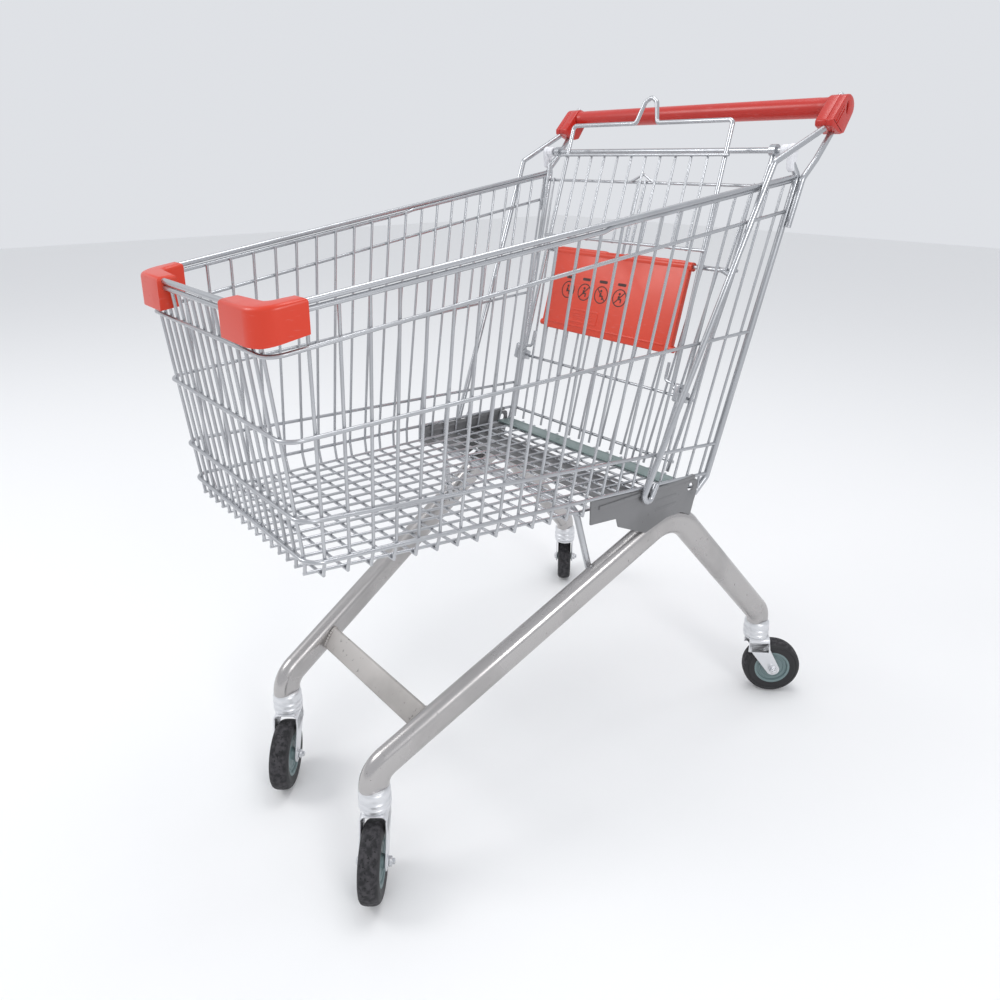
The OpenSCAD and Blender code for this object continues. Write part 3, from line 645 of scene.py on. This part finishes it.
# ---- child seat ----
class CART_OT_seat(bpy.types.Operator):
    """Builds the seat board with its signs, and the clips that carry the seat frame"""

    bl_idname = "cart.seat"
    bl_label = "Seat board and clips"

    half_width = 145
    top = -176
    low = -322
    face = -28.5
    thick = 9

    def execute(self, context):
        plastics = context.scene.cart_plastics
        plastic_look("board_plastic", tuple(plastics.board), 0.33)
        plastic_look("sign_ink", tuple(plastics.ink), 0.6, 0.1)
        self.board()
        self.signs()
        self.clips()
        return {"FINISHED"}

    def board(self):
        half, top, low = self.half_width, self.top, self.low
        radius = 12
        outline = [
            *arc((half - radius, low + radius), radius, -90, 0, 5),
            *arc((half - radius, top - radius), radius, 0, 90, 5),
            *arc((17, top - 4), 4, 90, 180, 3), (13, top - 7),
            (-25, top - 7), *arc((-30, top - 4), 4, 0, 90, 3),
            *arc((-half + radius, top - radius), radius, 90, 180, 5),
            *arc((-half + radius, low + radius), radius, 180, 270, 5),
        ]
        slab = plate(outline, self.thick, (), 1.8, 3)
        ridge = block((2 * half - 30, 3, 2), (0, low + 12, self.thick + 0.1), 0.8)
        field_x = -50
        field = plate(round_box(34, 12, 3), 1.0, [round_box(31, 9, 2)], 0.3)
        moved(field, shift(field_x, low + 30, self.thick - 0.4))
        rows = [block((44, 1.2, 0.8), (field_x, low + 26 + 4 * i, self.thick + 0.1), 0.2)
                for i in range(3)]
        face_place = shift(0, self.face + self.thick, 0) @ UPRIGHT
        slab = moved(join(slab, field, ridge, *rows), face_place)
        pivot = on_gate("board_swing")
        end = half + 3.5
        rim = end - 2.5
        tube = lathe([(3.1, -end), (7, -end), (7, -rim), (7, rim), (7, end), (3.1, end)], 32, True)
        knob = [(0, 6), (4, 5.8), (5.4, 4.4), (5.4, -5), (0, -5)]
        knobs = [moved(lathe(knob, 24), shift(sign * (half - 1.2), pivot.y - 1, low + 8), flipped(sign))
                 for sign in (-1, 1)]
        whole = join(slab, moved(tube, shift(*pivot)), *knobs)
        finish_piece("board", whole, gate_place(), "board_plastic", "seat_board",
                     ["seat_board"])

    def signs(self):
        """Round signs with a seated figure, printed on the face towards the nose."""
        marks = []
        thick = 0.3
        middle = (self.top + self.low) / 2 - 1
        rim, inside, head = (arc((0, 0), radius, 0, 360, steps)[:-1]
                             for radius, steps in ((15, 32), (13.3, 32), (2.3, 12)))
        body = [(-3, 3.4), (1, 3.4), (1, -1), (5.4, -1), (5.4, -8), (3, -8), (3, -3.4), (-3, -3.4)]
        for i, x in enumerate((-97, -58, -19, 22)):
            marks.append(moved(plate(rim, thick, [inside], 0), shift(x, middle, 0)))
            marks.append(moved(plate(head, thick, (), 0), shift(x - 1, middle + 6.5, 0)))
            marks.append(moved(plate(body, thick, (), 0), shift(x - 0.5, middle, 0)))
            marks.append(moved(plate(round_box(9, 2.4, 2), thick, (), 0), shift(x, middle + 22, 0)))
            if i:
                slash = plate(round_box(13.6, 0.9, 0.8), thick + 0.04, (), 0)
                marks.append(moved(slash, shift(x, middle, 0), turn(45 if i % 2 else -45, "Z")))
        place = gate_place() @ shift(0, self.face + 0.1, 0) @ UPRIGHT
        finish_piece("board_signs", join(*marks), place, "sign_ink", "seat_board")

    def clips(self):
        blocks = []
        pin = on_gate("seat_tilt")
        thick = 8
        outline = [
            (-41, -388), (-41, -364), (-38, -362), (-26, -362), (-18, -372),
            (-8.5, -374), (-7, -376), (-7, -389), (-9, -390), (-38, -390),
        ]
        for sign in (-1, 1):
            bore = arc((pin.y, pin.z), 3.56, 0, 360, 20)[:-1]
            clip = plate(outline, thick, [bore], 0.8)
            blocks.append(moved(clip, shift(sign * CLIP_HALF - thick / 2, 0, 0), ALONG_X))
        finish_piece("clips", join(*blocks), gate_place(), "zinc_plate", "gate",
                     ["seat_clips"])


# ---- casters ----
class CART_OT_casters(bpy.types.Operator):
    """Builds the four casters: ringed cup, pressed fork, axle bolt, hub and tyre"""

    bl_idname = "cart.casters"
    bl_label = "Casters"

    def execute(self, context):
        casters = context.scene.cart_casters
        self.radius = casters.wheel_radius
        self.half = casters.tyre_half
        self.trail = casters.trail
        self.steps = casters.steps
        metal_look("caster_zinc", (0.52, 0.53, 0.55), 0.3, 0.88, 0.7, 0.5)
        metal_look("bolt_zinc", (0.66, 0.67, 0.69), 0.24, 0.95, 0.4, 0.2)
        plastic_look("hub_nylon", tuple(context.scene.cart_plastics.hub), 0.45)
        tyre_look(tuple(casters.rubber), tuple(casters.tread))
        cups = []
        for corner in CORNERS:
            place = self.place(corner)
            nut_side = 1 if corner.startswith("rear") else -1
            finish_piece(f"{corner}_pressed_fork", self.fork(), place, "caster_zinc", f"{corner}_swivel",
                         [f"{corner}_fork"])
            finish_piece(f"{corner}_bolt", self.bolt(nut_side), place, "bolt_zinc", f"{corner}_swivel",
                         [f"{corner}_axle"])
            finish_piece(f"{corner}_hub_disc", self.hub(), place, "hub_nylon", f"{corner}_wheel",
                         [f"{corner}_hub"], sharp=30)
            finish_piece(f"{corner}_bearing_caps", self.caps(), place, "bolt_zinc", f"{corner}_wheel")
            self.tyre(corner, place)
            cups.append(moved(self.cup(), place))
        finish_piece("ringed_cups", join(*cups), Matrix.Identity(4), "caster_zinc", "cart",
                     ["headset_cups"])
        return {"FINISHED"}

    def place(self, corner):
        at = Vector(JOINTS[f"{corner}_turn"]["pos_m"])
        across = Vector(JOINTS[f"{corner}_roll"]["axis"])
        angle = math.degrees(math.atan2(across.y, across.x))
        return shift(at.x, at.y, 0) @ turn(angle, "Z") @ TO_METRES

    def cup(self):
        profile = [
            (0, 112.8), (20, 112.8), (21.9, 114), (22, 118.4), (20.6, 120.2), (20.4, 121.6),
            (21.9, 123), (22, 127), (20.4, 128.8), (20.2, 130.6), (21.4, 132), (21.5, 137),
            (20.8, 139.6), (19.6, 141.4), (18, 142.4), (0, 142.6),
        ]
        return moved(lathe(profile, 48), ALONG_Z)

    def fork(self):
        """Pressed fork: an arched crown that turns down into two tapering legs."""
        inner, wall, crown = self.half + FORK_GAP, FORK_WALL, CROWN
        outer = inner + wall
        bend = 8
        left, right = (-outer + bend, crown - bend), (outer - bend, crown - bend)
        low = 84
        arch = [
            (-outer, low), *arc(left, bend, 180, 90, 6), *arc(right, bend, 90, 0, 6), (outer, low),
            (inner, low), *arc(right, bend - wall, 0, 90, 6), *arc(left, bend - wall, 90, 180, 6),
            (-inner, low),
        ]
        shell = moved(plate(arch, 36, (), 0.7), shift(0, 22, 0), UPRIGHT)
        axle_y, axle_z = self.trail, self.radius
        side = [
            (-14, crown - 8), (-13, crown - 20), (-7, crown - 30),
            *arc((axle_y, axle_z), 11.6, 212, 372, 12), (24, crown - 22), (22, crown - 8),
        ]
        eye = arc((axle_y, axle_z), 4.1, 0, 360, 20)[:-1]
        legs = []
        for sign in (-1, 1):
            leg = plate(side, wall, [eye], 0.7)
            boss = lathe([(4.1, 0.2), (8.4, 0.2), (7.8, 1.1), (4.1, 1.1)], 28, True)
            moved(boss, shift(wall if sign > 0 else 0, axle_y, axle_z), flipped(sign))
            leg = join(moved(leg, ALONG_X), boss)
            legs.append(moved(leg, shift(inner if sign > 0 else -outer, 0, 0)))
        ring = [(0, -3), (20.4, -3), (21, -2), (21, -0.4), (20, 0.4), (0, 0.4)]
        race = moved(lathe([(radius, crown + up) for radius, up in ring], 48), ALONG_Z)
        stem = moved(lathe([(0, crown), (7.9, crown), (7.9, crown + 22), (0, crown + 22)], 24), ALONG_Z)
        return join(shell, race, stem, *legs)

    def bolt(self, nut_side):
        out = self.half + FORK_GAP + FORK_WALL
        thread = [(3.9 - 0.35 * (i % 2), out + 6 + 0.5 * i) for i in range(1, 8)]
        shank = lathe([(0, -out - 1), (3.9, -out - 1), (3.9, out + 6), *thread, (2.9, out + 10),
                       (0, out + 10)], 24)
        head = lathe([(0, -out - 4), (4, -out - 3.8), (6, -out - 2.4), (6.4, -out), (0, -out)], 28)
        nut = bmesh.new()
        bmesh.ops.create_cone(nut, cap_ends=True, segments=6, radius1=6.8, radius2=6.8, depth=6)
        soften(nut, 0.7, 2, 30)
        nut = moved(nut, shift(out + 3, 0, 0), turn(90, "Y"))
        washer = lathe([(4, out), (7.8, out), (7.8, out + 1), (4, out + 1)], 28, True)
        whole = join(shank, head, nut, washer)
        return moved(whole, shift(0, self.trail, self.radius), flipped(nut_side))

    def hub(self):
        side = [
            (4.1, -15.2), (7.4, -15.2), (8.6, -14.4), (9, -11.2), (12, -9.4), (19.4, -9.4), (20.4, -10.6),
            (22.2, -10.8), (23, -9.6), (26, -9.4), (27, -12), (28, -12.6), (HUB_RADIUS + 0.02, -12.6),
        ]
        other = [(radius, -along) for radius, along in reversed(side)]
        return moved(lathe(side + other, self.steps, True), shift(0, self.trail, self.radius))

    def caps(self):
        ring = [(4.15, 15.2), (6.6, 15.25), (6.6, 15.75), (4.15, 15.75)]
        rings = [lathe([(radius, side * along) for radius, along in ring], 32, True) for side in (-1, 1)]
        return moved(join(*rings), shift(0, self.trail, self.radius))

    def tyre(self, corner, place):
        """Tyre with a crowned tread, whose worn band is marked in the tread attribute."""
        radius, half = self.radius, self.half
        side = [
            (HUB_RADIUS, -half + 1.2), (36, -half + 0.6), (38, -half + 0.1), (41, -half),
            (42, -half + 0.7), (43, -half), (45.2, -half + 0.7), (47.4, -half + 2.2), (48.8, -half + 4.4),
            (49.6, -half + 7), (radius, -half + 11),
        ]
        other = [(reach, -along) for reach, along in reversed(side)]
        bm = moved(lathe(side + other, self.steps, True), shift(0, self.trail, radius))
        layer = bm.verts.layers.float.new("tread")
        for vert in bm.verts:
            reach = math.hypot(vert.co.y - self.trail, vert.co.z - radius)
            vert[layer] = min(1.0, max(0.0, (reach - 45.5) / 3.2))
        finish_piece(f"{corner}_worn_tyre", bm, place, "tyre_rubber", f"{corner}_wheel",
                     [f"{corner}_tyre"], sharp=50)


# ---- stage ----
class CART_OT_stage(bpy.types.Operator):
    """Sets the floor, the soft lights and the camera"""

    bl_idname = "cart.stage"
    bl_label = "Stage"

    def execute(self, context):
        scene = context.scene
        bm = bmesh.new()
        bmesh.ops.create_grid(bm, x_segments=1, y_segments=1, size=9)
        mesh = bpy.data.meshes.new("floor")
        bm.to_mesh(mesh)
        bm.free()
        floor = bpy.data.objects.new("floor", mesh)
        look = Look("floor_paper", roughness=0.85)
        look.shader.inputs["Base Color"].default_value = (0.9, 0.9, 0.9, 1)
        mesh.materials.append(look.material)
        scene.collection.objects.link(floor)
        world = bpy.data.worlds.new("studio")
        scene.world = world
        world.use_nodes = True
        sky = world.node_tree.nodes["Background"]
        sky.inputs["Color"].default_value = (0.86, 0.88, 0.92, 1)
        sky.inputs["Strength"].default_value = 0.86
        scene.view_settings.view_transform = "Standard"
        lamps = [
            self.lamp("key", (-1.9, -2.4, 2.9), 1.4, 34),
            self.lamp("fill", (2.9, -0.6, 1.9), 0.9, 20),
            self.lamp("top", (0.1, 0.5, 3.2), 1.4, 22),
        ]
        camera = bpy.data.objects.new("camera", bpy.data.cameras.new("camera"))
        camera.data.sensor_width = 36
        camera.data.lens = 27.91
        camera.data.shift_x = -0.0084
        camera.data.shift_y = -0.1025
        camera.location = (0.8631, -0.7429, 0.9294)
        camera.rotation_euler = (math.radians(72.893), math.radians(-0.126), math.radians(48.934))
        scene.collection.objects.link(camera)
        scene.camera = camera
        return {"FINISHED"}

    def lamp(self, name, place, size, power):
        light = bpy.data.lights.new(name, "AREA")
        light.size = size
        light.energy = power
        lamp = bpy.data.objects.new(name, light)
        lamp.location = place
        aim = Vector((0, 0, 0.5)) - Vector(place)
        lamp.rotation_euler = aim.to_track_quat("-Z", "Y").to_euler()
        bpy.context.scene.collection.objects.link(lamp)
        return lamp


OPERATORS = (
    CART_OT_wires, CART_OT_chassis, CART_OT_bumpers, CART_OT_handle, CART_OT_bearings, CART_OT_seat,
    CART_OT_casters, CART_OT_stage,
)


class CART_PT_panel(bpy.types.Panel):
    """Lists the cart's pieces in the sidebar"""

    bl_idname = "CART_PT_panel"
    bl_label = "Shopping Cart"
    bl_space_type = "VIEW_3D"
    bl_region_type = "UI"
    bl_category = "Cart"

    def draw(self, context):
        for group in ("cart_metals", "cart_plastics", "cart_casters"):
            settings = getattr(context.scene, group)
            box = self.layout.box()
            for key in settings.bl_rna.properties.keys():
                if key not in ("rna_type", "name"):
                    box.prop(settings, key)
        for operator in OPERATORS:
            self.layout.operator(operator.bl_idname)


GROUPS = {"cart_metals": CartMetals, "cart_plastics": CartPlastics, "cart_casters": CartCasters}
CLASSES = (*GROUPS.values(), *OPERATORS, CART_PT_panel)


def register():
    for cls in CLASSES:
        bpy.utils.register_class(cls)
    for key, group in GROUPS.items():
        setattr(bpy.types.Scene, key, PointerProperty(type=group))


def unregister():
    for key in GROUPS:
        delattr(bpy.types.Scene, key)
    for cls in reversed(CLASSES):
        bpy.utils.unregister_class(cls)


def main():
    register()
    for operator in OPERATORS:
        getattr(bpy.ops.cart, operator.bl_idname.split(".")[1])()
    bpy.context.view_layer.update()


if __name__ == "__main__":
    main()
